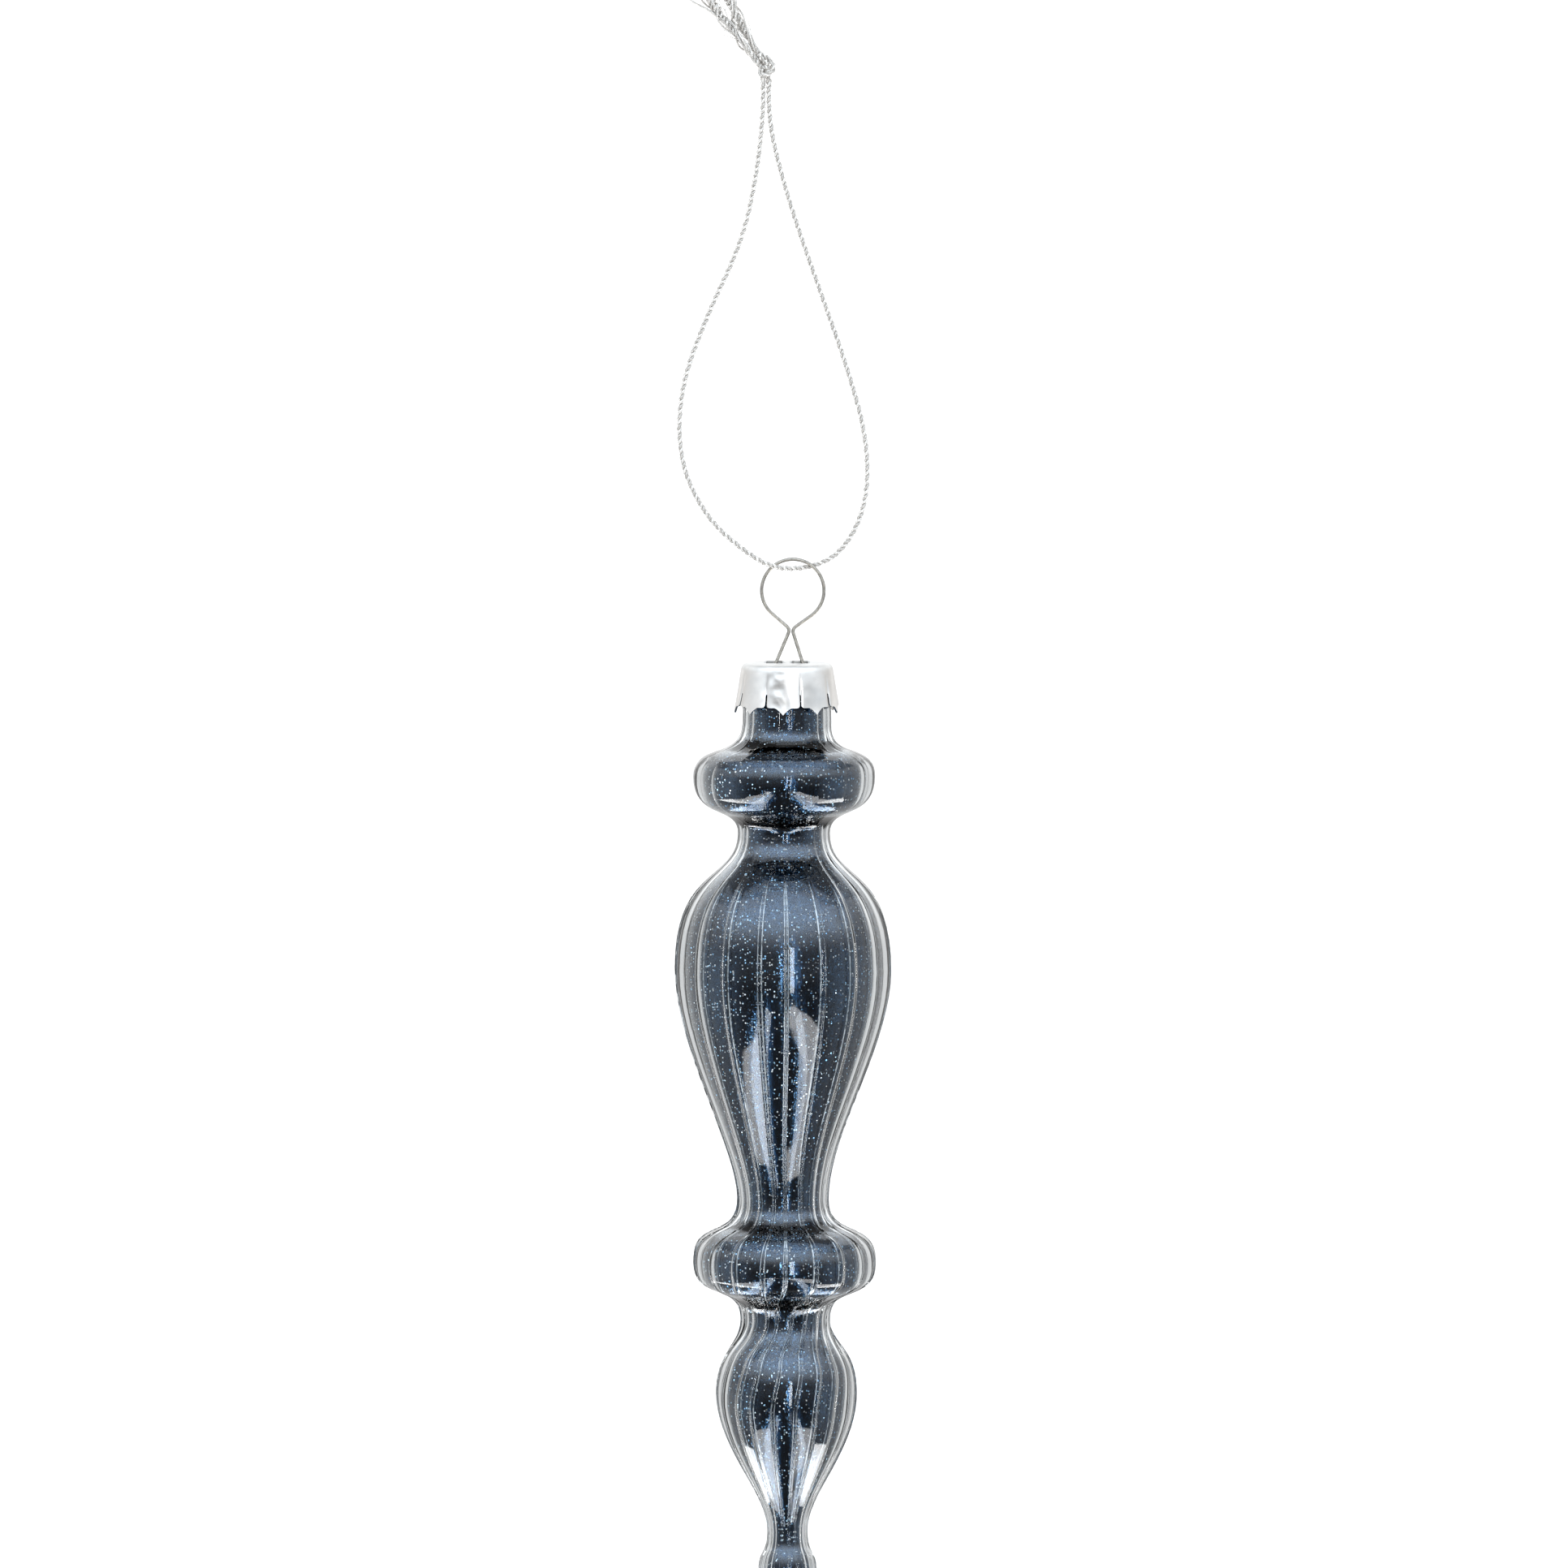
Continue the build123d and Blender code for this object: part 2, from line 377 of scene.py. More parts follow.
# in millimetres: depth under the cap top, radius there, and the curve handles above and below
STATIONS = [
    (0.95, 6.35, 0, 2.6),
    (9.4, 6.8, 3.0, 5.6),
    (17.4, 14.0, 5.2, 6.7),
    (26.1, 7.1, 4.4, 7.4),
    (47.1, 16.6, 15.8, 11.5),
    (82.6, 6.85, 8.9, 6.5),
    (92.25, 14.0, 6.3, 6.2),
    (101.1, 6.7, 5.5, 4.6),
    (112.6, 10.6, 7.2, 8.6),
    (134.1, 3.0, 5.9, 4.1),
    (141.3, 4.4, 4.7, 3.4),
    (148.0, 2.4, 3.0, 2.4),
    (153.5, 3.0, 2.4, 7.0),
]
GLASS_END = 178.0
GLASS_END_R = 0.9
GLASS_END_HANDLE = 11.0
CAVITY_END = 168.0
WALL_SHARE = 0.08  # the wall is this share of the radius, and this much more
WALL_LEAST = 0.55
LINING_GAP = 0.08
LINING_THICK = 0.15
LINING_TOP = 2.5
POINT_R = 0.01  # the least radius, at a closed end
LIP_RISE = 0.35  # the glass's lip is rounded, this high


def bezier(a, b, c, d, t):
    u = 1 - t
    return u * u * u * a + 3 * u * u * t * b + 3 * u * t * t * c + t * t * t * d


def outline(stations, steps):
    """(depth, radius) pairs in millimetres down the glass's outside, between the stations."""
    out = []
    for (top, wide, _, below), (bottom, narrow, above, _) in zip(stations, stations[1:]):
        for i in range(steps):
            t = i / steps
            depth = bezier(top, top + below, bottom - above, bottom, t)
            out.append((depth, bezier(wide, wide, narrow, narrow, t)))
    return out + [stations[-1][:2]]


def cavity(radius):
    """The inside radius of the wall."""
    return radius * (1 - WALL_SHARE) - WALL_LEAST


def blend_between(rows, depth):
    """Smooth values between (depth, value) rows."""
    if depth <= rows[0][0]:
        return rows[0][1]
    for (a, va), (b, vb) in zip(rows, rows[1:]):
        if depth <= b:
            t = (depth - a) / (b - a)
            t = t * t * (3 - 2 * t)
            return va + (vb - va) * t
    return rows[-1][1]


# the blown glass isn't quite straight, and its ribs turn: (depth, millimetres aside) and (depth, degrees)
BOW = [(8, 0.0), (18, -0.45), (47, -0.6), (72, -0.85), (84, -0.6), (96, -0.25), (134, 0.05), (145, 0.1)]
TWIST = [
    (10, 4),
    (26, 1),
    (47, 2),
    (82, 3),
    (94, 0),
    (101, -12),
    (107, -26),
    (115, -33),
    (134, -36),
    (178, -38),
]
RIBS = 18
RIB_JITTER = 2.2  # degrees
RIB_OFFSETS = {0: 0.0, 1: 0.6, 2: 0.6, 3: -0.7, 15: 5.0, 16: 4.0, 17: 5.0}  # degrees off an even spacing


def spike_end(steps):
    """(depth, radius) pairs from the last station to the rounded tip."""
    top, r, _, below = STATIONS[-1]
    end = GLASS_END - GLASS_END_R
    out = []
    for i in range(1, steps + 1):
        t = i / steps
        depth = bezier(top, top + below, end - GLASS_END_HANDLE, end, t)
        out.append((depth, bezier(r, r, GLASS_END_R, GLASS_END_R, t)))
    for i in range(1, 7):
        a = math.pi / 2 * i / 6
        out.append((end + GLASS_END_R * math.sin(a), max(GLASS_END_R * math.cos(a), POINT_R)))
    return out


def cavity_profile(inset, steps, stations, end_depth):
    """(depth, radius) pairs down the inside of the wall, moved in by inset, to a point."""
    rows = [(d, cavity(r) - inset) for d, r in outline(stations, steps)]
    top, r, _, below = stations[-1]
    r = cavity(r) - inset
    for i in range(1, steps + 1):
        t = i / steps
        depth = bezier(top, top + below, end_depth, end_depth, t)
        rows.append((depth, max(bezier(r, r, r / 2, 0, t), POINT_R)))
    return rows


RIB_SEED = 7
RIB_TALLEST = 0.28
RIB_SHARE = 0.04  # and no taller than this share of the radius
RIB_AMOUNT = [(6, 0.3), (13, 0.3), (17, 0.12), (24, 0.15), (31, 0.3), (37, 1.0), (178, 1.0)]
GROOVE_SHARE = 0.6  # the lining sinks under each rib by this share of the rib's height
RIB_FULL_R = 14.0  # the ribs are at their widest from this radius up
RIB_NEAR = (0.0, 0.11, 0.24, 0.44)  # millimetres either side of a rib's top
RIB_SHAPE = (1.0, 0.62, 0.12, 0.0)


def rib_columns():
    """Each rib's angle in degrees and height share."""
    rng = random.Random(RIB_SEED)
    out = []
    for i in range(RIBS):
        jitter = rng.uniform(-RIB_JITTER, RIB_JITTER)
        out.append((i * 360 / RIBS + RIB_OFFSETS.get(i, jitter), rng.uniform(0.75, 1.2)))
    return out


def rib_height(depth, radius):
    """How tall an average rib is, in millimetres."""
    return blend_between(RIB_AMOUNT, depth) * min(RIB_TALLEST, RIB_SHARE * radius)


def surface_rows(profile, ribs, share):
    """One ring of points for each profile row; the ribs stand out by this share of their height."""
    rings = []
    half = 180 / RIBS
    for depth, radius in profile:
        turn = blend_between(TWIST, depth)
        bow = blend_between(BOW, depth)
        tall = share * rib_height(depth, radius)
        ring = []
        for i in range(RIBS):
            here, size = ribs[i]
            following = ribs[(i + 1) % RIBS][0] + (360 if i == RIBS - 1 else 0)
            gap = following - here
            scale = min(1.0, 0.42 * gap / max(math.degrees(RIB_NEAR[-1] / max(radius, 0.2)), 1e-6))
            scale *= 0.45 + 0.55 * min(1.0, radius / RIB_FULL_R)
            near = [math.degrees(n / max(radius, 0.2)) * scale for n in RIB_NEAR]
            next_size = ribs[(i + 1) % RIBS][1]
            angles = [(here + n, s * size) for n, s in zip(near, RIB_SHAPE)]
            middle = here + gap / 2
            angles.append((middle, 0.0))
            angles += [(following - n, s * next_size) for n, s in list(zip(near, RIB_SHAPE))[:0:-1]]
            for angle, height in angles:
                a = math.radians(angle + turn)
                r = (radius + tall * height) * MM
                ring.append(
                    Vector((AXIS_X + bow * MM + r * math.sin(a), -r * math.cos(a), CAP_TOP - depth * MM))
                )
        rings.append(ring)
    return rings


def closed_skin(rings):
    """The points and faces of the surface through a row of rings, closed at both ends."""
    points = [point for ring in rings for point in ring]
    faces = []
    count = len(rings[0])
    for i in range(len(rings) - 1):
        for k in range(count):
            a = i * count + k
            b = i * count + (k + 1) % count
            faces.append((a, a + count, b + count, b))
    last = len(points) - count
    faces.append(tuple(range(count)))
    faces.append(tuple(last + k for k in range(count))[::-1])
    return points, faces


def make_glass():
    """The glass wall: ribbed outside, smooth inside, with a rounded lip."""
    ribs = rib_columns()
    outer = outline(STATIONS, 18) + spike_end(24)
    lip_depth, lip_out = STATIONS[0][:2]
    lip_middle = (lip_out + cavity(lip_out)) / 2
    lip_half = (lip_out - cavity(lip_out)) / 2
    lip = []
    for i in range(5, 0, -1):
        a = math.pi * i / 6
        lip.append((lip_depth - LIP_RISE * math.sin(a), lip_middle - lip_half * math.cos(math.pi - a)))
    inner = cavity_profile(0, 14, STATIONS, CAVITY_END)
    outside = surface_rows(outer, ribs, 1.0)
    inside = surface_rows(inner, ribs, 0.0)
    rim = surface_rows(lip, ribs, 0.0)
    points, faces = closed_skin(inside[::-1] + rim + outside)
    glass = mesh_object("glass_shell", points, faces, "glass")
    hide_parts("glass_body")
    return glass


def make_lining():
    """The film inside the glass, grooved under each rib, with the ribs' places for its material's painted
    highlight lines and painted shade.
    """
    ribs = rib_columns()
    rows = STATIONS[1:]
    neck = [(LINING_TOP + (rows[0][0] - LINING_TOP) * i / 4, cavity(rows[0][1])) for i in range(4)]
    gap = LINING_GAP
    far = LINING_GAP + LINING_THICK
    outer = [(d, r - gap) for d, r in neck] + cavity_profile(gap, 14, rows, CAVITY_END - gap)
    inner = [(d, r - far) for d, r in neck] + cavity_profile(far, 10, rows, CAVITY_END - far)
    rings = surface_rows(inner, ribs, 0.0)[::-1] + surface_rows(outer, ribs, -GROOVE_SHARE)
    points, faces = closed_skin(rings)
    count = len(rings[0])
    lining = mesh_object("glitter_film", points, faces, "glass")
    pattern = RIB_SHAPE + (0.0,) + RIB_SHAPE[:0:-1]
    side = [-1.0] * len(RIB_SHAPE) + [1.0] * len(RIB_SHAPE)
    amounts = []
    for depth, radius in inner[::-1] + outer:
        crowding = min(1.0, 0.4 + 0.06 * radius)  # the painted highlight lines and painted shade are fainter where the ribs are close together
        amounts.append(blend_between(RIB_AMOUNT, depth) * crowding)
    values = [pattern[i % len(pattern)] * amounts[i // count] for i in range(len(points))]
    tag(lining, "rib_top", values)
    tag(lining, "rib_side", [side[i % len(pattern)] for i in range(len(points))])
    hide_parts("glitter_lining")
    return lining


# ---------------------------------------------------------------- cap

# all in millimetres
SHEET = 0.3
CAP_TOP_R = 6.9
CAP_EDGE_R = 0.7
FLARE = 0.18  # outward for each millimetre down
PETALS = 9
FIRST_SLIT_DEG = -24.5
SLIT_WIDTH = 0.25
SLIT_DEPTH = 4.4
LOBE_DEPTH = 6.4
LOBE_R = 0.5
LOBE_WIDTH = 1.4
TIP_DEPTH = 7.5
SLOT_NEAR = 0.7
SLOT_FAR = 3.2
SLOT_WIDTH = 1.0
LIP = 0.32  # each slot has an edge bent up behind it, this high
HEM_R = CAP_TOP_R + FLARE * TIP_DEPTH
PETAL_HALF = HEM_R * math.pi / PETALS  # round the hem from a slit to the petal's tip
# the mesh's columns across half a petal, closer together by the slit
PETAL_MARKS = (0.0, 0.06, 0.14, 0.24, 0.36, 0.5, 0.7, 0.9, 1.1, 1.3, 1.5, 1.75, 2.0, 2.25, 2.5, 2.7)
CRUMPLE_DEG = -12.0  # one patch of the skirt is crumpled
CRUMPLE_SPREAD = 10.0
FACET_DEG = 8.5  # here the petal is pressed flat
FACET_HALF = 6.0
FACET_FACES_DEG = 6.0
FACET_INSET = 0.1


def hem_depth(u):
    """How far down the hem is, at a distance u round it from a slit's middle."""
    half = SLIT_WIDTH / 2
    if u < half + LOBE_R:
        return LOBE_DEPTH - LOBE_R + math.sqrt(max(0.0, LOBE_R**2 - (half + LOBE_R - u) ** 2))
    if u < LOBE_WIDTH:
        return LOBE_DEPTH
    return LOBE_DEPTH + (TIP_DEPTH - LOBE_DEPTH) * ((u - LOBE_WIDTH) / (PETAL_HALF - LOBE_WIDTH)) ** 1.5


def step_between(value, low, high):
    """A smooth step from 0 at low to 1 at high."""
    t = min(1.0, max(0.0, (value - low) / (high - low)))
    return t * t * (3 - 2 * t)


def cap_wobble(angle, depth, u, tilt):
    """What pressing and crimping add to the skirt's radius."""
    grow = step_between(depth, 0.8, TIP_DEPTH)
    across = 1 - u / PETAL_HALF
    out = -0.26 * grow * (1 - across * across) + tilt * grow * grow
    out -= 0.2 * math.exp(-((u / 0.3) ** 2)) * step_between(depth, 0.9, SLIT_DEPTH)
    away = (angle - CRUMPLE_DEG + 180) % 360 - 180
    patch = math.exp(-((away / CRUMPLE_SPREAD) ** 2))
    spot = Vector((math.radians(angle) * CAP_TOP_R, depth, 3.1))
    dents = noise.noise(spot * 0.7) * 0.05 + noise.noise(spot * 1.7) * 0.008
    folds = abs(noise.noise(spot * 0.75 + Vector((7, 2, 0)))) * 0.07
    out += (dents * (0.4 + 0.6 * patch) - folds * patch) * step_between(depth, 0.4, 1.4)
    aside = (angle - FACET_DEG + 180) % 360 - 180
    facet = math.exp(-((aside / FACET_HALF) ** 4)) * step_between(depth, 0.6, 2.0)
    run = math.radians(aside) * CAP_TOP_R
    lean = math.tan(math.radians(FACET_DEG - FACET_FACES_DEG))
    return out * (1 - facet) + facet * (lean * run + run * run / (2 * CAP_TOP_R) - FACET_INSET)


def make_cap():
    """The pressed cap: a skirt with slit petals, a rounded edge, and a flat top with two slots."""
    rng = random.Random(4)
    tilts = [rng.uniform(-0.1, 0.22) for _ in range(PETALS)]
    half = SLIT_WIDTH / 2
    columns = []
    for petal in range(PETALS):
        start = FIRST_SLIT_DEG + petal * 360 / PETALS
        marks = [half + m * (PETAL_HALF - half) / PETAL_MARKS[-1] for m in PETAL_MARKS]
        for u in marks:
            columns.append((start + math.degrees(u / HEM_R), u, petal))
        for u in marks[-2::-1]:
            columns.append((start + 360 / PETALS - math.degrees(u / HEM_R), u, petal))
    rows = []  # (depth, inset, share of the way from the slits' tops to the hem)
    for i in range(7):
        a = math.pi / 2 * i / 6
        rows.append((CAP_EDGE_R * (1 - math.cos(a)), CAP_EDGE_R * (math.sin(a) - 1), None))
    rows += [(CAP_EDGE_R + (SLIT_DEPTH - CAP_EDGE_R) * i / 16, 0.0, None) for i in range(1, 17)]
    rows += [(None, 0.0, i / 12) for i in range(1, 13)]
    points, faces = [], []
    for depth, inset, share in rows:
        for angle, u, petal in columns:
            d = depth if share is None else SLIT_DEPTH + (hem_depth(u) - SLIT_DEPTH) * share
            r = CAP_TOP_R + inset + FLARE * d + cap_wobble(angle, d, u, tilts[petal])
            a = math.radians(angle)
            points.append(Vector((AXIS_X + r * MM * math.sin(a), -r * MM * math.cos(a), CAP_TOP - d * MM)))
    count = len(columns)
    for i in range(len(rows) - 1):
        for k in range(count):
            following = (k + 1) % count
            if rows[i + 1][2] is not None and columns[k][2] != columns[following][2]:
                continue
            a, b = i * count + k, i * count + following
            faces.append((a, a + count, b + count, b))
    loops = [points[:count]]
    half_width = SLOT_WIDTH / 2 + SHEET
    run = (SLOT_FAR - SLOT_NEAR - SLOT_WIDTH) / 2
    for side in (-1, 1):
        slot = []
        for i in range(24):
            a = 2 * math.pi * (i + 0.5) / 24
            x = side * (SLOT_NEAR + SLOT_FAR) / 2 + half_width * math.cos(a)
            x += math.copysign(run, math.cos(a))
            slot.append(Vector((AXIS_X + x * MM, half_width * MM * math.sin(a), CAP_TOP)))
        loops.append(slot)
    offset = len(points) - count
    for slot in loops[1:]:
        points.extend(slot)
    for triangle in tessellate_polygon(loops):
        corners = [i if i < count else i + offset for i in triangle]
        a, b, c = (points[i] for i in corners)
        faces.append(tuple(corners) if (b - a).cross(c - a).z > 0 else tuple(corners[::-1]))
    for loop, slot in enumerate(loops[1:]):
        base = count + offset + loop * len(slot)
        top = len(points)
        for corner in slot:
            rise = LIP * MM * step_between(corner.y, -0.2 * MM, 0.5 * MM)
            points.append(corner + Vector((0, 0, rise)))
        for i in range(len(slot)):
            j = (i + 1) % len(slot)
            faces.append((base + i, base + j, top + j, top + i))
    sheet = mesh_object("cap_sheet", points, faces, None)
    solid = sheet.modifiers.new("sheet", "SOLIDIFY")
    solid.thickness = SHEET * MM
    solid.offset = -1
    bpy.context.view_layer.update()
    thick = sheet.evaluated_get(bpy.context.evaluated_depsgraph_get())
    data = bpy.data.meshes.new_from_object(thick)
    bpy.data.objects.remove(sheet)
    data.name = "cap_shell"
    data.set_sharp_from_angle(angle=math.radians(38))
    cap = add_object("cap_shell", data, "cap")
    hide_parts("crimp_cap")
    return cap


# ---------------------------------------------------------------- materials


class Nodes:
    """A short way to write node trees."""

    def __init__(self, tree):
        self.tree = tree

    def add(self, kind, **inputs):
        """A new node; each keyword names an input or a setting."""
        node = self.tree.nodes.new(kind)
        for key, value in inputs.items():
            if hasattr(node, key) and key not in node.inputs:
                setattr(node, key, value)
            else:
                self.put(node.inputs[key.replace("_", " ") if key not in node.inputs else key], value)
        return node

    def put(self, socket, value):
        if isinstance(value, bpy.types.NodeSocket):
            self.tree.links.new(value, socket)
        else:
            socket.default_value = value

    def math(self, operation, a, b=0.0, c=0.0):
        node = self.tree.nodes.new("ShaderNodeMath")
        node.operation = operation
        for socket, value in zip(node.inputs, (a, b, c)):
            self.put(socket, value)
        return node.outputs[0]

    def mix(self, factor, a, b):
        node = self.tree.nodes.new("ShaderNodeMix")
        node.data_type = "RGBA"
        self.put(node.inputs["Factor"], factor)
        self.put(node.inputs["A"], a)
        self.put(node.inputs["B"], b)
        return node.outputs["Result"]

    def ramp(self, factor, stops):
        node = self.tree.nodes.new("ShaderNodeValToRGB")
        elements = node.color_ramp.elements
        while len(elements) < len(stops):
            elements.new(0.5)
        for element, (place, colour) in zip(elements, stops):
            element.position = place
            element.color = colour if len(colour) == 4 else (*colour, 1)
        self.put(node.inputs[0], factor)
        return node.outputs["Color"]

    def product(self, *values):
        result = values[0]
        for value in values[1:]:
            result = self.math("MULTIPLY", result, value)
        return result

    def total(self, *values):
        result = values[0]
        for value in values[1:]:
            result = self.math("ADD", result, value)
        return result

    def blend(self, share, low, high):
        rest = self.math("SUBTRACT", 1.0, share)
        return self.total(self.product(low, rest), self.product(high, share))

    def window(self, value, low, high, soft):
        """1 between low and high, and 0 outside, with soft edges."""
        rise = self.smooth(value, low - soft, low + soft)
        fall = self.smooth(value, high - soft, high + soft, 1.0, 0.0)
        return self.math("MULTIPLY", rise, fall)

    def smooth(self, value, low, high, to_low=0.0, to_high=1.0):
        """A smooth step from to_low at low to to_high at high."""
        node = self.tree.nodes.new("ShaderNodeMapRange")
        node.interpolation_type = "SMOOTHSTEP"
        for key, number in (("From Min", low), ("From Max", high), ("To Min", to_low), ("To Max", to_high)):
            node.inputs[key].default_value = number
        self.put(node.inputs["Value"], value)
        return node.outputs["Result"]


def new_material(name):
    material = bpy.data.materials.new(name)
    material.use_nodes = True
    nodes = Nodes(material.node_tree)
    shader = material.node_tree.nodes["Principled BSDF"]
    return material, nodes, shader


def glass_material():
    """Clear glass, a little cool and uneven, with the slow waviness of hand blowing."""
    material, n, shader = new_material("clear_glass")
    place = n.add("ShaderNodeTexCoord").outputs["Object"]
    cloudy = n.add("ShaderNodeTexNoise", Vector=place, Scale=140.0, Detail=2.0)
    tint = n.mix(cloudy.outputs["Fac"], (0.90, 0.95, 0.97, 1), (0.96, 0.98, 0.99, 1))
    n.put(shader.inputs["Base Color"], tint)
    wavy = n.add("ShaderNodeTexNoise", Vector=place, Scale=260.0, Detail=1.0)
    bump = n.add("ShaderNodeBump", Strength=1.0, Distance=0.02 * MM, Height=wavy.outputs["Fac"])
    n.put(shader.inputs["Normal"], bump.outputs[0])
    shader.inputs["Roughness"].default_value = 0.0
    shader.inputs["IOR"].default_value = 1.5
    shader.inputs["Transmission Weight"].default_value = 1.0
    return material


def lining_material():
    """A dark blue lacquer full of fine flakes, with a painted highlight line down each rib and painted
    shade beside it.
    """
    material, n, shader = new_material("glitter_lacquer")
    place = n.add("ShaderNodeTexCoord").outputs["Object"]
    fine = n.add("ShaderNodeTexVoronoi", Vector=place, Scale=7000.0)
    coarse = n.add("ShaderNodeTexVoronoi", Vector=place, Scale=2800.0)
    cloud = n.add("ShaderNodeTexNoise", Vector=place, Scale=1400.0, Detail=3.0)

    def parts(colour):
        split = n.tree.nodes.new("ShaderNodeSeparateColor")
        n.put(split.inputs[0], colour)
        return split.outputs

    fine_parts = parts(fine.outputs["Color"])
    coarse_parts = parts(coarse.outputs["Color"])
    base = n.ramp(
        fine_parts[0],
        [
            (0.0, (0.003, 0.010, 0.024)),
            (0.55, (0.007, 0.021, 0.046)),
            (0.85, (0.018, 0.044, 0.086)),
            (1.0, (0.09, 0.17, 0.27)),
        ],
    )
    spark_colour = n.ramp(
        coarse_parts[1],
        [
            (0.0, (0.20, 0.48, 0.80)),
            (0.3, (0.55, 0.80, 0.95)),
            (0.55, (0.95, 0.98, 1.0)),
            (1.0, (1.0, 0.98, 0.94)),
        ],
    )
    dot = n.smooth(coarse.outputs["Distance"], 0.27, 0.38, 1.0, 0.0)
    chosen = n.smooth(coarse_parts[0], 0.70, 0.71)
    spark = n.math("MULTIPLY", dot, chosen)
    colour = n.mix(spark, base, spark_colour)
    top = n.add("ShaderNodeAttribute", attribute_name="rib_top").outputs["Fac"]
    side = n.add("ShaderNodeAttribute", attribute_name="rib_side").outputs["Fac"]
    # painted highlight: a pale line along each rib's top, broken up by a cloud and mixed into the colour
    # below
    broken = n.smooth(cloud.outputs["Fac"], 0.38, 0.56, 0.4, 1.0)
    line = n.math("MULTIPLY", n.smooth(top, 0.35, 0.8), broken)
    # painted shade: a dark band beside each rib, darker on one side of it than the other
    shade = n.math("MULTIPLY", n.smooth(top, 0.02, 0.35), n.smooth(side, -0.6, 0.6, 0.25, 0.85))
    colour = n.mix(shade, colour, (0.006, 0.009, 0.016, 1))
    colour = n.mix(line, colour, (0.66, 0.69, 0.72, 1))
    n.put(shader.inputs["Base Color"], colour)
    shader.inputs["Metallic"].default_value = 1.0
    n.put(shader.inputs["Roughness"], n.smooth(n.math("MAXIMUM", spark, line), 0.0, 1.0, 0.16, 0.42))
    geometry = n.add("ShaderNodeNewGeometry")

    def leaning(voronoi_colour, amount):
        centred = n.add("ShaderNodeVectorMath", operation="SUBTRACT")
        n.put(centred.inputs[0], voronoi_colour)
        centred.inputs[1].default_value = (0.5, 0.5, 0.5)
        scaled = n.add("ShaderNodeVectorMath", operation="SCALE")
        n.put(scaled.inputs[0], centred.outputs[0])
        n.put(scaled.inputs["Scale"], amount)
        return scaled.outputs[0]

    added = n.add("ShaderNodeVectorMath", operation="ADD")
    n.put(added.inputs[0], geometry.outputs["Normal"])
    n.put(added.inputs[1], leaning(fine.outputs["Color"], 0.14))
    again = n.add("ShaderNodeVectorMath", operation="ADD")
    n.put(again.inputs[0], added.outputs[0])
    n.put(again.inputs[1], leaning(coarse.outputs["Color"], n.math("MULTIPLY", spark, 1.5)))
    unit = n.add("ShaderNodeVectorMath", operation="NORMALIZE")
    n.put(unit.inputs[0], again.outputs[0])
    n.put(shader.inputs["Normal"], unit.outputs[0])
    return material


def thread_material():
    """Two plies: one of bright foil and one of duller grey, both finely wound."""
    material, n, shader = new_material("metallic_thread")
    place = n.add("ShaderNodeTexCoord").outputs["Object"]
    wound = n.add("ShaderNodeTexNoise", Vector=place, Scale=5000.0, Detail=3.0)
    foil = n.add("ShaderNodeAttribute", attribute_name="foil").outputs["Fac"]
    grain = n.smooth(wound.outputs["Fac"], 0.35, 0.65)
    dull = n.mix(grain, (0.44, 0.425, 0.40, 1), (0.62, 0.60, 0.575, 1))
    bright = n.mix(grain, (0.62, 0.605, 0.58, 1), (0.86, 0.84, 0.81, 1))
    n.put(shader.inputs["Base Color"], n.mix(foil, dull, bright))
    shader.inputs["Metallic"].default_value = 0.5
    shader.inputs["Roughness"].default_value = 0.4
    bump = n.add("ShaderNodeBump", Strength=0.6, Distance=0.04 * MM, Height=wound.outputs["Fac"])
    n.put(shader.inputs["Normal"], bump.outputs[0])
    return material


def metal(name, dark, light, roughness, scale, depth):
    """A metal with a fine grain of two shades and a bump of the same grain, this deep."""
    material, n, shader = new_material(name)
    place = n.add("ShaderNodeTexCoord").outputs["Object"]
    grain = n.add("ShaderNodeTexNoise", Vector=place, Scale=scale, Detail=4.0)
    n.put(shader.inputs["Base Color"], n.mix(n.smooth(grain.outputs["Fac"], 0.35, 0.65), dark, light))
    shader.inputs["Metallic"].default_value = 1.0
    shader.inputs["Roughness"].default_value = roughness
    bump = n.add("ShaderNodeBump", Strength=0.5, Distance=depth, Height=grain.outputs["Fac"])
    n.put(shader.inputs["Normal"], bump.outputs[0])
    return material


def cap_metal():
    """The cap's bright plated steel, scuffed dull on the top and its rounded edge."""
    material = metal("cap_metal", (0.90, 0.88, 0.85, 1), (0.98, 0.96, 0.93, 1), 0.25, 500, 0.03 * MM)
    n = Nodes(material.node_tree)
    split = n.add("ShaderNodeSeparateXYZ")
    n.put(split.inputs[0], n.add("ShaderNodeTexCoord").outputs["Object"])
    dull = n.smooth(split.outputs[2], CAP_TOP - 1.3 * MM, CAP_TOP - 0.3 * MM, 0.3, 0.6)
    n.put(material.node_tree.nodes["Principled BSDF"].inputs["Roughness"], dull)
    return material


# ---------------------------------------------------------------- build

glass = make_glass()
glass.data.materials.append(glass_material())
lining = make_lining()
lining.data.materials.append(lining_material())
cap = make_cap()
cap.data.materials.append(cap_metal())
wire_metal = metal("hanger_steel", (0.36, 0.335, 0.30, 1), (0.50, 0.47, 0.42, 1), 0.5, 2500, 0.01 * MM)
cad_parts["hanger_wire"].data.materials.clear()
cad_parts["hanger_wire"].data.materials.append(wire_metal)
thread = thread_material()
for piece in (cord, knot, fibres):
    piece.data.materials.append(thread)

# ---------------------------------------------------------------- stage and light


WHITE_LEVEL = 1.5  # what the camera and matt surfaces see, all round
SKY_LEVEL = 2.3
SKY_TINT = (0.76, 0.88, 1.0, 1)
OVERHEAD_LEVEL = 0.27
FLANK_LEVEL = 0.15
PANEL_LEVEL = 5.6
STRIP_LEVEL = 18.0
PATCH_LEVEL = 1.2


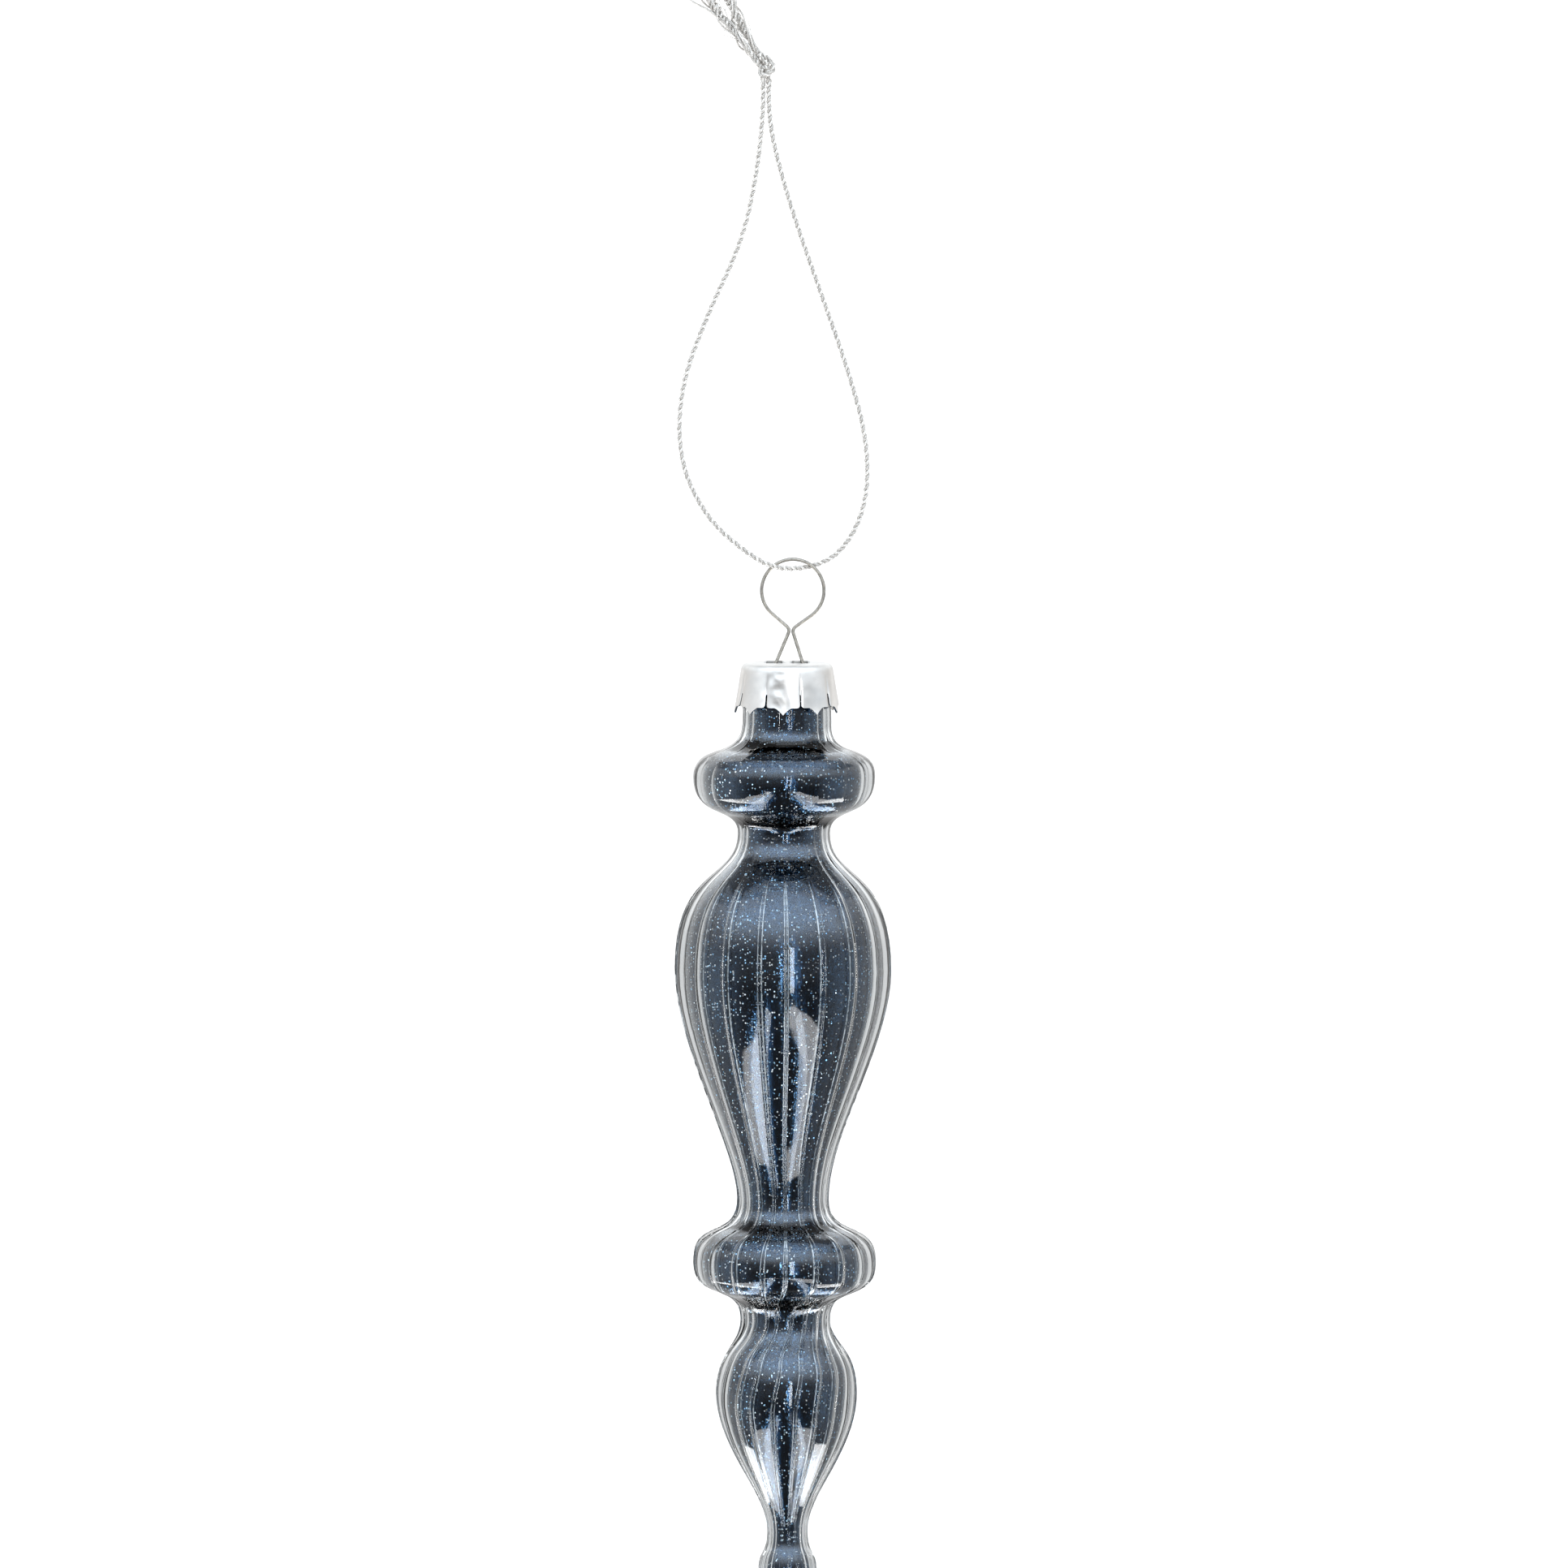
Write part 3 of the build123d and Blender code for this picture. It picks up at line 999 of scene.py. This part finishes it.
def surround(n, z, away):
    """The plain light all round, by height: dim in front, paler at the sides, near white behind."""
    front = n.smooth(z, -0.28, 0.03, 0.09, 0.26)
    side = n.smooth(z, -0.75, -0.15, 0.32, 0.64)
    back = n.smooth(z, -0.03, 0.05, 0.72, 1.05)
    base = n.blend(n.smooth(away, 45, 80), front, side)
    return n.blend(n.smooth(away, 126, 146), base, back)


def low_panels(n, x, across, behind, below):
    """Two slanting panels under the object, left and right of its middle, in front of it."""
    flare = n.smooth(behind, -0.9, -0.4, 0.54, 0.42)
    inner = n.total(flare, n.smooth(behind, -0.3, -0.05, 0.0, 0.12))
    left_extra = n.product(n.smooth(x, -0.01, 0.01, 0.2, 0.0), n.smooth(behind, -0.8, -0.5, 1.0, 0.0))
    far_extra = n.smooth(behind, -0.25, -0.05, 0.0, 0.25)
    outer = n.total(n.smooth(behind, -0.9, -0.4, 0.84, 0.94), far_extra, left_extra)
    first = n.smooth(x, -0.01, 0.01, -1.74, -1.6)
    start = n.math("SUBTRACT", n.math("MULTIPLY_ADD", across, 0.7, behind), first)
    stop = n.math("MULTIPLY_ADD", across, -1.1, behind)
    from_inner = n.smooth(n.math("SUBTRACT", across, inner), -0.03, 0.03)
    to_outer = n.smooth(n.math("SUBTRACT", across, outer), -0.03, 0.03, 1.0, 0.0)
    ends = n.product(n.smooth(start, 0.0, 0.08), n.smooth(stop, -0.76, -0.66, 1.0, 0.0))
    return n.product(from_inner, to_outer, ends, below, n.smooth(behind, -0.25, -0.05, 1.0, 2.2))


def make_world():
    """Soft studio light, drawn by direction: white for the camera, and lamps for gloss and glass."""
    world = bpy.data.worlds.new("studio")
    scene.world = world
    world.use_nodes = True
    n = Nodes(world.node_tree)
    background = world.node_tree.nodes["Background"]
    split = n.add("ShaderNodeSeparateXYZ")
    n.put(split.inputs[0], n.add("ShaderNodeTexCoord").outputs["Generated"])
    x, y, z = split.outputs
    azimuth = n.math("DEGREES", n.math("ARCTAN2", x, n.math("MULTIPLY", y, -1)))  # 0 is in front
    away = n.math("ABSOLUTE", azimuth)
    # where the direction crosses a level plane that is 1 above or below the object
    height = n.math("MAXIMUM", n.math("ABSOLUTE", z), 0.001)
    across = n.math("DIVIDE", n.math("ABSOLUTE", x), height)
    behind = n.math("DIVIDE", y, height)
    above = n.smooth(z, -0.01, 0.01)
    below = n.math("SUBTRACT", 1.0, above)
    gap = n.product(n.window(behind, -0.17, 0.9, 0.06), n.smooth(across, 1.2, 1.35, 1.0, 0.0), above)
    base = surround(n, z, away)
    base = n.blend(n.product(gap, n.smooth(z, 0.45, 0.6)), base, OVERHEAD_LEVEL)
    rise = n.product(n.smooth(z, 0.10, 0.55), n.smooth(behind, -0.9, -0.2, 1.0, 0.5))
    sky = n.product(n.math("SUBTRACT", 1.0, gap), rise, n.smooth(away, 60, 120, 1.0, 0.45))
    flank = n.product(n.window(away, 52, 100, 12), n.window(z, -0.45, 0.1, 0.12))
    panel = low_panels(n, x, across, behind, below)
    strip = n.product(n.window(z, -0.24, 0.17, 0.02), n.window(azimuth, 6.5, 12.5, 0.5))
    patch = n.product(n.window(z, -0.5, -0.34, 0.03), n.window(azimuth, 7, 17, 2))
    light = n.total(
        base,
        n.product(sky, SKY_LEVEL),
        n.product(patch, PATCH_LEVEL),
        n.product(flank, FLANK_LEVEL),
        n.product(panel, PANEL_LEVEL),
        n.product(strip, STRIP_LEVEL),
    )
    path = n.add("ShaderNodeLightPath").outputs
    tint = n.mix(n.math("MAXIMUM", sky, flank), (1, 1, 1, 1), SKY_TINT)
    plain = n.math("MAXIMUM", path["Is Camera Ray"], path["Is Diffuse Ray"])
    n.put(background.inputs["Color"], n.mix(plain, tint, (1, 1, 1, 1)))
    n.put(background.inputs["Strength"], n.blend(plain, light, WHITE_LEVEL))


FLOOR_DROP = 0.7  # metres under the glass's tip
FLOOR_SIZE = 60.0


def make_floor():
    """The plain pale floor, which the glass and the metal don't show."""
    half = FLOOR_SIZE / 2
    z = cad_low[2] - FLOOR_DROP
    points = [(-half, -half, z), (half, -half, z), (half, half, z), (-half, half, z)]
    floor = mesh_object("floor", points, [(0, 1, 2, 3)], None)
    material, n, shader = new_material("pale_floor")
    grain = n.add("ShaderNodeTexNoise", Scale=3.0)
    pale = n.mix(grain.outputs["Fac"], (0.88, 0.88, 0.88, 1), (0.9, 0.9, 0.9, 1))
    n.put(shader.inputs["Base Color"], pale)
    shader.inputs["Roughness"].default_value = 0.9
    floor.data.materials.append(material)
    floor.visible_glossy = False
    floor.visible_transmission = False


make_world()
make_floor()
